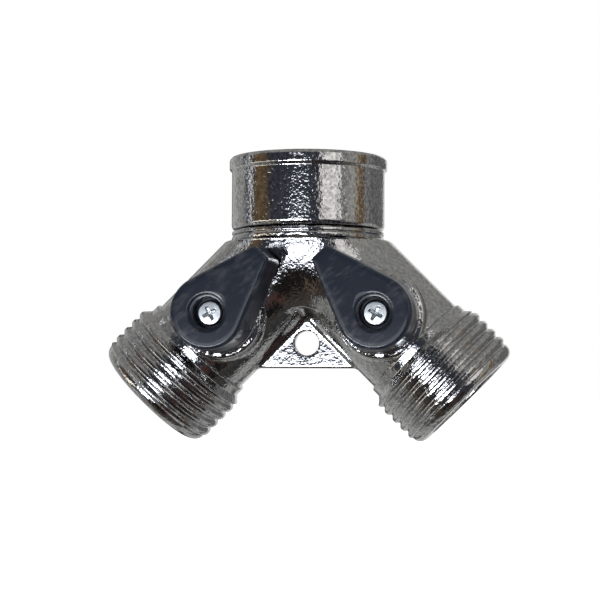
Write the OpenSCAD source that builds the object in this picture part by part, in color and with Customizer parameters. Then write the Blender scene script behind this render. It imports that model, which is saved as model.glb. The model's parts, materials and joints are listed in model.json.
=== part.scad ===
// Two-way garden hose splitter: one swivel inlet, two ball valves, two male outlets.
// Origin: centre of the inlet mouth. +Z points out of the inlet, the levers face -Y,
// and the outlets lean down to +X and -X.

/* [Hose thread] */
// Crest diameter of the male outlet threads
thread_d = 26.9; // [24:0.1:30]
// Distance from one thread crest to the next
thread_pitch = 2.2; // [1.8:0.05:2.6]
// Depth of the thread grooves
thread_depth = 0.9; // [0.6:0.05:1.1]
// Turns of thread on each outlet
outlet_turns = 4; // [3:0.5:5]
// Turns of thread inside the inlet
inlet_turns = 3; // [2:0.5:3]
// Space all round between an inlet crest and a mating groove
thread_play = 0.15; // [0.05:0.05:0.3]

/* [Swivel nut] */
// Height of the nut
nut_h = 14.6; // [13.5:0.1:18]
// Metal left outside the inlet thread
nut_wall = 1.7; // [1.2:0.1:3]
// How far the rim bead stands out of the nut
rim_out = 0.5; // [0.2:0.1:1]
// Height of the rim bead
rim_h = 2.6; // [1.5:0.1:4]
// Thickness of the lip that holds the nut on the neck
nut_lip = 1.6; // [1:0.1:2.5]
// Rounding of the nut's lower edge
nut_round = 0.9; // [0.3:0.1:1.2]

/* [Inlet neck] */
// Diameter of the waterway through the neck
waterway_d = 15; // [12:0.5:16]
// Wall of the neck
neck_wall = 3.9; // [3:0.1:4.2]
// Thickness of the rubber washer on the neck
washer_t = 2.4; // [1.5:0.1:3.2]
// Thickness of the snap ring that keeps the nut on
ring_t = 1; // [0.6:0.1:1.2]
// Depth of the snap ring's groove in the neck
ring_bite = 0.8; // [0.5:0.1:1.2]
// Thickness of the disc under the nut
disc_t = 0.6; // [0.4:0.1:1.2]
// Height of the shoulder under that disc
shoulder_t = 0.9; // [0.6:0.1:2]

/* [Arms] */
// Angle between an arm and the inlet axis
arm_angle = 45; // [42:1:48]
// Length of an arm, from where the arm axes meet to its end face
arm_len = 45; // [43:0.5:52]
// Metal outside a ball chamber
barrel_wall = 3.1; // [2:0.1:3.5]
// Bore of an outlet's mouth
outlet_bore_d = 18.8; // [17.6:0.1:20]
// Depth of that mouth
outlet_bore_len = 7; // [4:0.5:8]
// Plain lead in front of the first thread crest
lead_len = 2.5; // [1.5:0.1:4]
// Rounding of the outlet's end
lead_round = 0.9; // [0.4:0.1:1.2]
// Length of the turned band behind the thread
band_len = 3; // [2:0.1:4]
// How far that band stands out of the barrel
band_out = 0.6; // [0.2:0.05:0.8]

/* [Ball valves] */
// Distance from where the arm axes meet to a ball's centre
valve_u = 22.3; // [22:0.1:24]
// Diameter of a ball
ball_d = 15; // [14:0.1:15.6]
// Diameter of the port through a ball
port_d = 9.2; // [7:0.1:9.6]
// Space all round between a ball and its chamber
chamber_gap = 0.7; // [0.5:0.1:1.2]
// Length of a seat ring along the arm
seat_len = 3; // [2.4:0.1:3.4]
// Length of the bush that holds the seats and ball in
bush_len = 5; // [3:0.5:6]

/* [Valve stems] */
// Diameter of a stem where it turns in its boss
stem_d = 6; // [5.2:0.1:7]
// Diameter of the stem's collar, inside the body
collar_d = 8; // [7.6:0.1:9]
// Thickness of that collar
collar_t = 1; // [0.8:0.1:1.4]
// Thickness of the slip washer on the collar
slip_t = 0.5; // [0.3:0.1:0.8]
// Width of the tang that turns the ball
tang_w = 2.8; // [2:0.1:3.4]
// Thickness of the O-ring's cord
oring_cord = 1; // [0.8:0.05:1.2]
// Width across the flats of the stem's square end
square_w = 4.4; // [4.2:0.1:4.8]
// Length of that square end
square_len = 4; // [3:0.5:5]

/* [Valve bosses] */
// Diameter of the lower step of a boss
boss_d = 17.2; // [15.5:0.1:19]
// Diameter of its upper step
boss_top_d = 15; // [12:0.1:15.2]
// How far the lower step stands out of the barrel
boss_step_h = 0.3; // [0.1:0.1:1]
// Height of the upper step
boss_rise = 1.2; // [0.8:0.1:2]
// Rounding of both steps
boss_round = 0.7; // [0.3:0.1:0.9]
// Height of the lug that stops the lever
stop_h = 1.4; // [1:0.1:2]
// Half of the angle that the lug takes up
stop_half_angle = 10; // [6:1:14]

/* [Levers] */
// Diameter of a lever's round end, at its base
lever_d = 15; // [14.2:0.1:17]
// Distance from the stem to the lever's narrow end
lever_reach = 15.8; // [13:0.1:16.4]
// Width of the narrow end
lever_tip_w = 5.2; // [4:0.1:7]
// Height of a lever
lever_h = 10.4; // [9.8:0.1:13]
// How far each side leans in towards the top
lever_draft = 0.45; // [0.2:0.05:0.8]
// Bevel round the top
lever_bevel = 0.6; // [0.3:0.1:1]
// Wall of the hollow underside
lever_wall = 1.5; // [1.2:0.1:2]
// Depth of the hollow underside
lever_hollow = 3; // [2:0.5:4]
// Diameter of the screw's recess
recess_d = 7.2; // [6.4:0.1:8]
// Diameter of the recess's floor
recess_floor_d = 6; // [5:0.1:6.2]
// Plastic between the screw's head and the stem's socket
lever_floor = 1.6; // [1.2:0.1:2.4]

/* [Lever screws] */
// Diameter of a screw's head
screw_head_d = 4.5; // [4:0.1:4.8]
// Height of the head
screw_head_h = 1.6; // [1.2:0.1:2]
// Diameter of the shank
screw_d = 3; // [2.5:0.1:3.2]
// Length of the shank
screw_len = 6.5; // [5:0.5:7]
// Width of a slot of the cross recess
cross_w = 0.75; // [0.5:0.05:1]
// Depth of the cross recess
cross_depth = 0.9; // [0.5:0.1:1.2]

/* [Web] */
// Distance from where the arm axes meet down to the web's straight edge
web_drop = 25.9; // [24:0.1:28]
// Thickness of the web
web_t = 2.2; // [1.5:0.1:4]
// Diameter of the hanging hole
hole_d = 4.9; // [3:0.1:6]
// Distance from the web's edge to the hole's centre
hole_up = 5; // [4:0.1:5.5]

/* [Clearances] */
// Running fit, all round
fit = 0.08; // [0.02:0.01:0.1]
// Space between parts that turn past each other
turn_gap = 0.3; // [0.3:0.05:0.6]
// Space round parts that are put together and stay put
seat_gap = 0.08; // [0.02:0.01:0.15]

/* [Hidden] */
LEFT = 1;
RIGHT = 0;
eps = 0.01;
$fn = 96;

CHROME = [0.78, 0.79, 0.80];
STEEL = [0.86, 0.87, 0.88];
BRASS = [0.80, 0.68, 0.38];
SEAT_WHITE = [0.93, 0.93, 0.90];
RUBBER = [0.10, 0.10, 0.10];
LEVER_BLACK = [0.10, 0.11, 0.14];

// Thread form with flanks at 60 degrees to each other. An outlet's crests are narrow and its
// roots wide, and the inlet's are the other way round, so that the two screw together.
thread_r = thread_d / 2;
root_r = thread_r - thread_depth;
flank = tan(30);
groove_over = 0.05;
outlet_crest_w = thread_pitch / 6;
outlet_root_w = thread_pitch - outlet_crest_w - 2 * flank * thread_depth;
outlet_mouth_w = thread_pitch - outlet_crest_w + 2 * flank * groove_over;
inlet_root_w = thread_pitch / 8;
inlet_mouth_w = inlet_root_w + 2 * flank * (thread_depth + groove_over);
thread_steps = 48;
run_out = 0.6;
thread_chamfer = 0.6;
left_start = 45;
right_start = -30;

// Inlet
inlet_minor_r = root_r + thread_play;
inlet_major_r = thread_r + thread_play;
nut_r = inlet_major_r + nut_wall;
rim_r = nut_r + rim_out;
neck_r = waterway_d / 2 + neck_wall;
lip_top_z = nut_lip - nut_h;
ring_z = lip_top_z + turn_gap;
ring_out = 0.95;
ring_r = neck_r + ring_out;
ring_play = 0.1;
neck_end = 1;
neck_top_z = ring_z + ring_t + neck_end;
washer_grip = 0.25;
washer_r = inlet_minor_r + washer_grip;
disc_z = -nut_h - turn_gap;
disc_r = nut_r - 0.1;
under_groove_t = 0.2;
under_groove_r = disc_r - 0.6;
shoulder_z = disc_z - disc_t - under_groove_t;
shoulder_r = nut_r + 0.2;
apex_z = shoulder_z - 0.35;
hub_top_z = shoulder_z - shoulder_t;

// Arms, measured along an arm from where the axes meet
chamber_r = ball_d / 2 + chamber_gap;
barrel_r = chamber_r + barrel_wall;
band_r = barrel_r + band_out;
thread_end_u = arm_len - lead_len;
thread_start_u = thread_end_u - outlet_turns * thread_pitch;
flare_u = thread_start_u - thread_chamfer;
flare_len = 0.6;
step_len = 0.3;
band_u = thread_start_u - band_len;
lead_r = root_r - 0.12;
branch_r = port_d / 2 + 1.4;
seat_bore_r = port_d / 2 + 0.2;
bush_bore_r = seat_bore_r + 0.6;
ball_r = ball_d / 2;
seat_behind = 1;
seat_back = ball_r + seat_behind;
chamber_start_u = valve_u - seat_back;
bush_u = valve_u + seat_back;
chamber_end_u = arm_len - outlet_bore_len;

// Stem, measured forwards from the arm's axis
port_cover = 0.8;
slot_floor_h = port_d / 2 + port_cover;
tang_play = 0.15;
tang_h = slot_floor_h + tang_play;
collar_over_ball = 0.4;
collar_h = ball_r + collar_over_ball;
slip_h = collar_h + collar_t;
slip_play = 0.1;
spot_h = slip_h + slip_t + slip_play;
boss_step_top_h = barrel_r + boss_step_h;
boss_top_h = boss_step_top_h + boss_rise;
stem_r = stem_d / 2;
oring_h = (spot_h + boss_top_h) / 2;
oring_play = 0.3;
groove_w = oring_cord + oring_play;
groove_r = stem_r - oring_cord - oring_play / 6;
lever_h0 = boss_top_h + turn_gap;
square_top_h = lever_h0 + square_len;
socket_play = 0.2;
socket_top_h = square_top_h + socket_play;
floor_h = socket_top_h + lever_floor;
lever_top_h = lever_h0 + lever_h;
hub_wall = 0.9;
stop_r0 = square_w / 2 * sqrt(2) + hub_wall + turn_gap;
stop_w = 1.3;
stop_r1 = stop_r0 + stop_w;
stop_at = 205;
stop_root = 1;
quarter_turn = 90;
recess_depth = 1.2;
screw_room = 0.2;

// One arm's own frame: +Z runs out along the arm, -Y is the front, +X faces the other arm
module on_arm(side) {
  translate([0, 0, apex_z]) mirror([side, 0, 0]) rotate([0, 180 - arm_angle, 0]) children();
}

// A stem's own frame: +Z runs forwards from the arm's axis, +Y runs out along the arm
module on_stem(side) {
  on_arm(side) translate([0, 0, valve_u]) rotate([90, 0, 0]) children();
}

module ring(r_out, r_in, h) {
  difference() {
    cylinder(r = r_out, h = h);
    translate([0, 0, -1]) cylinder(r = r_in, h = h + 2);
  }
}

// Cutter for a right-hand helical groove: a trapezoid w_in wide at r_in and w_out wide at
// r_out, carried up and round +Z. It starts below the thread and ends above it, and its
// sections stand half a step off +X, clear of the seams of the round faces it cuts.
module groove_cutter(r_in, w_in, r_out, w_out, turns) {
  steps = ceil((turns + 2 * run_out) * thread_steps);
  last = 4 * steps;
  points = [for (i = [0:steps])
    let (a = 360 * (i + 0.5) / thread_steps, z = (i / thread_steps - run_out) * thread_pitch)
    each [[r_in * cos(a), r_in * sin(a), z - w_in / 2],
      [r_out * cos(a), r_out * sin(a), z - w_out / 2],
      [r_out * cos(a), r_out * sin(a), z + w_out / 2],
      [r_in * cos(a), r_in * sin(a), z + w_in / 2]]];
  sides = [for (i = [0:steps - 1], k = [0:3])
    let (a = 4 * i + k, b = 4 * i + (k + 1) % 4)
    each [[b + 4, a + 4, a], [b, b + 4, a]]];
  polyhedron(points, concat([[2, 1, 0], [3, 2, 0]], sides,
    [[last, last + 1, last + 2], [last, last + 2, last + 3]]));
}

// ---------------------------------------------------------------- casting

module arm_outline() {
  polygon(
    [[0, -barrel_r], [barrel_r, -barrel_r], [barrel_r, band_u - step_len],
     [barrel_r - step_len / 2, band_u - step_len / 2], [band_r, band_u],
     [band_r, flare_u - flare_len], [lead_r, flare_u], [thread_r, thread_start_u],
     [thread_r, thread_end_u], [lead_r, thread_end_u + thread_chamfer],
     [lead_r, arm_len - lead_round], [lead_r - lead_round, arm_len], [0, arm_len]]);
  translate([lead_r - lead_round, arm_len - lead_round]) circle(r = lead_round);
}

module arm(side) {
  intersection() {
    on_arm(side) rotate_extrude() arm_outline();
    translate([-2 * arm_len, -2 * arm_len, hub_top_z - 2 * arm_len])
      cube([4 * arm_len, 4 * arm_len, 2 * arm_len + eps]);
  }
}

// The mirrored arm's groove is mirrored back, so that both threads are right-handed
module outlet_groove(side) {
  on_arm(side) mirror([0, side, 0]) rotate([0, 0, side == LEFT ? left_start : right_start])
    translate([0, 0, thread_start_u])
    groove_cutter(root_r, outlet_root_w, thread_r + groove_over, outlet_mouth_w, outlet_turns);
}

module boss_step(r, top) {
  rotate_extrude() {
    square([r - boss_round, top]);
    square([r, top - boss_round]);
    translate([r - boss_round, top - boss_round]) circle(r = boss_round);
  }
}

module stop_lug() {
  rotate([0, 0, stop_at - stop_half_angle]) rotate_extrude(angle = 2 * stop_half_angle)
    translate([stop_r0, boss_top_h - stop_root]) square([stop_w, stop_root + stop_h]);
}

module boss(side) {
  on_stem(side) {
    boss_step(boss_d / 2, boss_step_top_h);
    boss_step(boss_top_d / 2, boss_top_h);
    stop_lug();
  }
}

module neck() {
  translate([0, 0, disc_z - disc_t]) cylinder(r = neck_r, h = neck_top_z - disc_z + disc_t);
  translate([0, 0, disc_z - disc_t]) cylinder(r = disc_r, h = disc_t);
  translate([0, 0, hub_top_z]) cylinder(r = under_groove_r, h = disc_z - hub_top_z);
  translate([0, 0, hub_top_z]) cylinder(r = shoulder_r, h = shoulder_t);
}

// Hollow curve that carries the round shoulder down on to the arms
module shoulder_fillet() {
  sweep_r = shoulder_r - barrel_r;
  translate([0, 0, hub_top_z]) rotate_extrude() difference() {
    translate([0, -sweep_r]) square([barrel_r + sweep_r, sweep_r + eps]);
    translate([barrel_r + sweep_r, -sweep_r]) circle(r = sweep_r);
  }
}

module web() {
  half = web_drop * tan(arm_angle);
  translate([0, web_t / 2, apex_z]) rotate([90, 0, 0]) linear_extrude(web_t)
    polygon([[0, 0], [half, -web_drop], [-half, -web_drop]]);
}

module arm_bores(side) {
  on_arm(side) {
    cylinder(r = branch_r, h = valve_u);
    translate([0, 0, chamber_start_u]) cylinder(r = chamber_r, h = arm_len);
    translate([0, 0, chamber_end_u]) cylinder(r = outlet_bore_d / 2, h = arm_len);
  }
  on_stem(side) {
    cylinder(r = collar_d / 2 + turn_gap, h = spot_h);
    cylinder(r = stem_r + fit, h = boss_top_h + 1);
  }
}

module body() {
  color(CHROME) difference() {
    union() {
      neck();
      shoulder_fillet();
      for (side = [LEFT, RIGHT]) {
        arm(side);
        boss(side);
      }
      web();
    }
    translate([0, 0, apex_z]) cylinder(d = waterway_d, h = neck_top_z - apex_z + 1);
    for (side = [LEFT, RIGHT]) {
      arm_bores(side);
      outlet_groove(side);
    }
    translate([0, 0, ring_z - ring_play])
      ring(neck_r + 1, neck_r - ring_bite, ring_t + 2 * ring_play);
    translate([0, web_t, apex_z - web_drop + hole_up]) rotate([90, 0, 0])
      cylinder(d = hole_d, h = 2 * web_t);
  }
}

// ---------------------------------------------------------------- inlet

module swivel_nut() {
  mouth_h = 0.9;
  relief_r = inlet_major_r + 0.1;
  thread_z = -mouth_h - inlet_turns * thread_pitch;
  edge = 0.5;
  color(CHROME) difference() {
    rotate_extrude() {
      polygon([[neck_r + fit, -nut_h], [nut_r - nut_round, -nut_h], [nut_r, nut_round - nut_h],
        [nut_r, -rim_h - rim_out / 2], [rim_r, -rim_h + rim_out / 2], [rim_r, -edge],
        [rim_r - edge, 0], [relief_r, 0], [relief_r, thread_chamfer - mouth_h],
        [inlet_minor_r, -mouth_h], [inlet_minor_r, thread_z],
        [relief_r, thread_z - thread_chamfer], [relief_r, lip_top_z + edge],
        [relief_r - edge, lip_top_z], [neck_r + fit, lip_top_z]]);
      translate([nut_r - nut_round, nut_round - nut_h]) circle(r = nut_round);
    }
    translate([0, 0, thread_z])
      groove_cutter(inlet_minor_r - groove_over, inlet_mouth_w, inlet_major_r, inlet_root_w,
        inlet_turns);
  }
}

module retaining_ring() {
  gap_w = 3;
  color(STEEL) translate([0, 0, ring_z]) difference() {
    ring(ring_r, neck_r - ring_bite + seat_gap, ring_t);
    translate([-gap_w / 2, 0, -1]) cube([gap_w, 2 * ring_r, ring_t + 2]);
  }
}

module inlet_washer() {
  bore_play = 0.4;
  color(RUBBER) translate([0, 0, neck_top_z])
    ring(washer_r, waterway_d / 2 + bore_play, washer_t);
}

// ---------------------------------------------------------------- valves

module ball(side) {
  color(CHROME) on_stem(side) difference() {
    sphere(r = ball_r);
    rotate([90, 0, 0]) cylinder(d = port_d, h = 2 * ball_d, center = true);
    translate([-ball_d, -tang_w / 2 - seat_gap, slot_floor_h])
      cube([2 * ball_d, tang_w + 2 * seat_gap, ball_d]);
  }
}

// A seat ring, drawn for the end of the chamber that is nearer the inlet
module seat() {
  difference() {
    ring(chamber_r - seat_gap, seat_bore_r, seat_len);
    translate([0, 0, seat_back]) sphere(r = ball_r + fit);
  }
}

module inner_seat(side) {
  color(SEAT_WHITE) on_arm(side) translate([0, 0, chamber_start_u]) seat();
}

module outer_seat(side) {
  color(SEAT_WHITE) on_arm(side) translate([0, 0, bush_u]) mirror([0, 0, 1]) seat();
}

// Bush behind the outer seat, with two notches for the tool that fits it
module seat_bush(side) {
  notch_w = 2;
  notch_deep = 1.5;
  color(BRASS) on_arm(side) translate([0, 0, bush_u]) difference() {
    ring(chamber_r - seat_gap, bush_bore_r, bush_len);
    translate([-chamber_r, -notch_w / 2, bush_len - notch_deep])
      cube([2 * chamber_r, notch_w, notch_deep + 1]);
  }
}

module stem(side) {
  tip_room = 0.3;
  hole_floor_h = floor_h - screw_len - tip_room;
  color(BRASS) on_stem(side) difference() {
    union() {
      intersection() {
        translate([-collar_d, -tang_w / 2, tang_h])
          cube([2 * collar_d, tang_w, collar_h - tang_h + eps]);
        cylinder(r = collar_d / 2 - turn_gap, h = collar_h + eps);
      }
      translate([0, 0, collar_h]) cylinder(d = collar_d, h = collar_t);
      translate([0, 0, collar_h]) cylinder(r = stem_r, h = boss_top_h - collar_h);
      translate([-square_w / 2, -square_w / 2, boss_top_h - eps])
        cube([square_w, square_w, square_top_h - boss_top_h + eps]);
    }
    translate([0, 0, oring_h - groove_w / 2]) ring(stem_r + 1, groove_r, groove_w);
    translate([0, 0, hole_floor_h]) cylinder(r = screw_d / 2 + seat_gap, h = lever_h);
  }
}

module slip_washer(side) {
  color(SEAT_WHITE) on_stem(side) translate([0, 0, slip_h])
    ring(collar_d / 2 - slip_play, stem_r + seat_gap, slip_t);
}

module stem_o_ring(side) {
  color(RUBBER) on_stem(side) translate([0, 0, oring_h]) rotate_extrude()
    translate([stem_r - oring_cord / 2, 0]) circle(d = oring_cord, $fn = 48);
}

// ---------------------------------------------------------------- levers

// The lever's outline as upright discs, drawn in by some distance, between two heights
module lever_layer(drawn_in, h0, h1) {
  corner_r = 0.9;
  tip_x = lever_tip_w / 2 - drawn_in - corner_r;
  tip_y = lever_reach - drawn_in - corner_r;
  translate([0, 0, h0]) {
    cylinder(r = lever_d / 2 - drawn_in, h = h1 - h0, $fn = 64);
    for (x = [-tip_x, tip_x]) translate([x, -tip_y, 0]) cylinder(r = corner_r, h = h1 - h0, $fn = 32);
  }
}

module lever_form() {
  skin = 0.05;
  hull() {
    lever_layer(0, lever_h0, lever_h0 + skin);
    lever_layer(lever_draft, lever_top_h - lever_bevel - skin, lever_top_h - lever_bevel);
    lever_layer(lever_draft + 0.3 * lever_bevel, lever_top_h - 0.3 * lever_bevel - skin,
      lever_top_h - 0.3 * lever_bevel);
    lever_layer(lever_draft + lever_bevel, lever_top_h - skin, lever_top_h);
  }
}

// Hollow of the underside, round the hub that takes the stem
module lever_hollow_form() {
  difference() {
    hull() lever_layer(lever_wall, lever_h0 - 1, lever_h0 + lever_hollow);
    cylinder(r = stop_r1 + turn_gap + hub_wall, h = 2 * lever_top_h);
  }
}

// Groove that the stop lug runs in while the lever makes its quarter turn
module stop_groove() {
  end_play = 4;
  reach = stop_half_angle + end_play;
  rotate([0, 0, stop_at - reach]) rotate_extrude(angle = quarter_turn + 2 * reach)
    translate([stop_r0 - turn_gap, lever_h0 - 1])
    square([stop_w + 2 * turn_gap, 1 + stop_h]);
}

module lever(side) {
  color(LEVER_BLACK) on_stem(side) difference() {
    lever_form();
    lever_hollow_form();
    stop_groove();
    translate([-square_w / 2 - seat_gap, -square_w / 2 - seat_gap, lever_h0 - 1])
      cube([square_w + 2 * seat_gap, square_w + 2 * seat_gap, socket_top_h - lever_h0 + 1]);
    cylinder(r = screw_d / 2 + screw_room, h = 2 * lever_top_h);
    translate([0, 0, floor_h]) cylinder(d = recess_floor_d, h = lever_top_h);
    translate([0, 0, lever_top_h - recess_depth]) cylinder(d = recess_d, h = lever_top_h);
  }
}

// Pan head screw with a cross recess
module lever_screw(side) {
  head_r = screw_head_d / 2;
  dome_r = (head_r * head_r + screw_head_h * screw_head_h) / (2 * screw_head_h);
  slot_len = 0.6 * screw_head_d;
  slot_angle = 20;
  flatter = 1.25;
  color(STEEL) on_stem(side) translate([0, 0, floor_h]) difference() {
    union() {
      intersection() {
        cylinder(d = screw_head_d, h = screw_head_h);
        translate([0, 0, screw_head_h - flatter * dome_r]) sphere(r = flatter * dome_r);
      }
      translate([0, 0, -screw_len]) cylinder(d = screw_d, h = screw_len + eps);
    }
    for (a = [0, 90]) rotate([0, 0, a + slot_angle])
      translate([-slot_len / 2, -cross_w / 2, screw_head_h - cross_depth])
      cube([slot_len, cross_w, screw_head_h]);
  }
}

body();
swivel_nut();
retaining_ring();
inlet_washer();

ball(LEFT);  // left_ball
inner_seat(LEFT);  // left_inner_seat
outer_seat(LEFT);  // left_outer_seat
seat_bush(LEFT);  // left_seat_bush
stem(LEFT);  // left_stem
slip_washer(LEFT);  // left_slip_washer
stem_o_ring(LEFT);  // left_stem_o_ring
lever(LEFT);  // left_lever
lever_screw(LEFT);  // left_lever_screw

ball(RIGHT);  // right_ball
inner_seat(RIGHT);  // right_inner_seat
outer_seat(RIGHT);  // right_outer_seat
seat_bush(RIGHT);  // right_seat_bush
stem(RIGHT);  // right_stem
slip_washer(RIGHT);  // right_slip_washer
stem_o_ring(RIGHT);  // right_stem_o_ring
lever(RIGHT);  // right_lever
lever_screw(RIGHT);  // right_lever_screw
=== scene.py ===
import json
import math
import bpy
import bmesh
import numpy as np
from mathutils import Matrix, Vector


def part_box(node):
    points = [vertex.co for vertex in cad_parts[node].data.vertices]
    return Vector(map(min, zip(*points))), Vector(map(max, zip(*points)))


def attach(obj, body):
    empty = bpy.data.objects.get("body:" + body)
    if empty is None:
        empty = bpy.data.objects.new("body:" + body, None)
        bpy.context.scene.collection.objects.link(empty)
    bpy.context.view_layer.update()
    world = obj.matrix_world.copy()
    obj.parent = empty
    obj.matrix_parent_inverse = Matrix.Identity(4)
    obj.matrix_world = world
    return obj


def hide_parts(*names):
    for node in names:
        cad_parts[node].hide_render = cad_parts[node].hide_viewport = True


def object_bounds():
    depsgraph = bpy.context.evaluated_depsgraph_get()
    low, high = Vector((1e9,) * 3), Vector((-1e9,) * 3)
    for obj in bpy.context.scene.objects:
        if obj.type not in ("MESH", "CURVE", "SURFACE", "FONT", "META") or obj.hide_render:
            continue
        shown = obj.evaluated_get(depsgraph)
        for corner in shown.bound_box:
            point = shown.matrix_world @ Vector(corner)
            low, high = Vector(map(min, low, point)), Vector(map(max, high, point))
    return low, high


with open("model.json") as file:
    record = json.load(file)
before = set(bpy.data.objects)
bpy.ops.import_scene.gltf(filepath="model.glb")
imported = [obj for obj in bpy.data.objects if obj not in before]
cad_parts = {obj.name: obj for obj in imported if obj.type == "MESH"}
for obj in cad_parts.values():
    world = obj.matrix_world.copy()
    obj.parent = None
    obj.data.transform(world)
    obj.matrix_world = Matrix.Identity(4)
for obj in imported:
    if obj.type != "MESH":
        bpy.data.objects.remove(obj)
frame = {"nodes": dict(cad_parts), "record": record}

CAD_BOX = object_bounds()
NODES = frame["nodes"]
MM = 0.001


def place(name, data):
    """Puts a mesh, a lamp or a camera into the scene as an object."""
    made = bpy.data.objects.new(name, data)
    bpy.context.scene.collection.objects.link(made)
    return made


# ------------------------------------------------------------------ camera

AIM = Vector((0.0, 0.0, -0.028))
CAMERA_AZIMUTH = math.radians(8.4)
CAMERA_ELEVATION = math.radians(-3.0)
CAMERA_ROLL = math.radians(0.35)
CAMERA_DISTANCE = 0.335
LENS, SENSOR = 100.5, 36
SHIFT_X, SHIFT_Y = -0.0128, -0.0025
NEAREST, FURTHEST = 0.01, 20


def add_camera():
    data = bpy.data.cameras.new("camera")
    camera = place("camera", data)
    back = Vector((math.sin(CAMERA_AZIMUTH) * math.cos(CAMERA_ELEVATION),
                   -math.cos(CAMERA_AZIMUTH) * math.cos(CAMERA_ELEVATION),
                   math.sin(CAMERA_ELEVATION)))
    camera.location = AIM + CAMERA_DISTANCE * back
    turn = back.to_track_quat("Z", "Y").to_matrix()
    camera.rotation_euler = (turn @ Matrix.Rotation(CAMERA_ROLL, 3, "Z")).to_euler()
    data.lens = LENS
    data.sensor_width = SENSOR
    data.shift_x = SHIFT_X
    data.shift_y = SHIFT_Y
    data.clip_start = NEAREST
    data.clip_end = FURTHEST
    bpy.context.scene.camera = camera


add_camera()

# ------------------------------------------------------------------ sizes, in millimetres

record = frame["record"]
mounts = {m["name"]: m for m in record["mounts"]}
joints = {j["name"]: j for j in record["behaviour"]["joints"]}
outlet_mouth = mounts["outlet_mouth_right"]
inlet_thread = mounts["inlet_thread"]
hanging_hole = mounts["hanging_hole"]

# the arms lean at 45 degrees, and a place on an arm is its distance from the apex of their axes
ARMS = {"left": -1, "right": 1}
COS = math.sqrt(0.5)
ARM_LEN = 45.0
APEX_Z = outlet_mouth["pos_m"][2] / MM + ARM_LEN * COS
BARREL_R, BARREL_BACK = 11.3, 6
VALVE_U = joints["right_valve_turn"]["pos_m"][0] / MM / COS

# threads: the CAD's own, and the outlets' crests and roots as plating rounds them
THREAD_R, THREAD_DEPTH, PITCH, TURNS = 13.45, 0.9, 2.2, 4
THREAD_START = 33.7
THREAD_END = THREAD_START + TURNS * PITCH
FLANK_W = THREAD_DEPTH * math.tan(math.radians(30))
INLET_ROOT_W = PITCH / 8
SOFT_CREST_R, SOFT_ROOT_R = 13.35, 12.7
SOFT_ROOT_W, SOFT_FLANK_W = 0.35, 0.55
RUN_OUT, CUT_ROOM = 0.6, 0.7
GROOVE_TURN = -0.6104
OUTLET_TURN = {"left": -45 / 360, "right": 30 / 360}

# outlets
BAND_R, BAND_U = 11.92, THREAD_START - 3.0
LEAD_R = 12.95
NOSE_R, NOSE_LEN = 2.0, 1.9
MOUTH_R = outlet_mouth["dims"]["r_mm"]
MOUTH_LEN = outlet_mouth["dims"]["length_mm"]

# waterway, ball chambers and stem bores
NECK_BORE = 7.5
BRANCH_R = 6.0
CHAMBER_R = 8.2
SEAT_BACK = 8.5
STEM_BORE_R = 3.08
SPOT_H, SPOT_R = 9.5, 4.3

# inlet: nut, neck, the disc under the nut, and the shoulder
NUT_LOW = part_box("swivel_nut")[0][2] / MM
RIM_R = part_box("swivel_nut")[1][0] / MM
NUT_R = RIM_R - 0.5
NECK_R = 11.4
NECK_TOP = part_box("body")[1][2] / MM
DISC_Z, DISC_T = NUT_LOW - 0.3, 0.6
SHOULDER_Z = DISC_Z - DISC_T - 0.2
SHOULDER_R = NUT_R - 0.15

# hub: the neck as it runs down between the arms
HUB_TOP = SHOULDER_Z - 0.9
HUB_WIDE, HUB_FRONT = 20.0, 12.9
HUB_DRAW_IN = 0.028
HUB_REACH, HUB_INSET = 14, 1.0

# valve bosses and the web with its hole
BOSS_R, BOSS_TOP_R = 8.6, 7.5
BOSS_H, BOSS_TOP_H = 11.6, 12.8
BOSS_ROUND = 0.7
WEB_T = hanging_hole["dims"]["length_mm"]
HOLE_R = hanging_hole["dims"]["r_mm"]
HOLE_Z = hanging_hole["pos_m"][2] / MM
WEB_Z = HOLE_Z - 5.0

# roundings of the casting: its outside edges, and its fillets
CAST_EDGE, BORE_EDGE, WEB_EDGE, ARM_END_EDGE, HUB_EDGE = 0.3, 0.25, 0.35, 0.5, 0.8
BOSS_STEP_FILLET, BOSS_FILLET, FORK_FILLET, HUB_FILLET, SMALL_FILLET = 0.25, 0.7, 0.8, 1.6, 0.5

# levers, their recesses and hollows, and the screws
LEVER_R, LEVER_REACH, LEVER_TIP_W, LEVER_H = 7.5, 15.8, 5.2, 10.4
LEVER_DRAFT, LEVER_BEVEL, LEVER_TIP_CORNER = 0.4, 0.8, 1.3
LEVER_PLAY = math.radians(2.5)
LEVER_BASE = BOSS_TOP_H + 0.3
LEVER_TOP = LEVER_BASE + LEVER_H
SOCKET_TOP, SOCKET_HALF = LEVER_BASE + 4.2, 2.28
RECESS_FLOOR = SOCKET_TOP + 1.6
RECESS_R, RECESS_FLOOR_R, RECESS_DEPTH = 3.6, 3.0, 1.2
SCREW_HOLE_R = 1.7
LEVER_HUB_R, LEVER_WALL, HOLLOW_DEPTH = 6.8, 1.5, 3
STOP_GROOVE_R, STOP_GROOVE_DEPTH = (4.01, 5.91), 1.4
STOP_GROOVE_ENDS = (205 - 14, 295 + 14)
SCREW_HEAD_R, SCREW_HEAD_H, SCREW_SHANK_R, SCREW_LENGTH = 2.45, 1.6, 1.5, 6.5
CROSS_TURN = math.radians(20)


def arm_axes(side):
    """Unit vectors of an arm: out along it, up and out across it, and the front."""
    s = ARMS[side]
    return (np.array([s * COS, 0, -COS]), np.array([s * COS, 0, COS]), np.array([0, -1.0, 0]))


def arm_point(side, u):
    """The point on an arm's axis at a distance from the apex."""
    return np.array([0, 0, APEX_Z]) + u * arm_axes(side)[0]


# ------------------------------------------------------------------ mesh helpers

WELD = 1e-7


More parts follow.
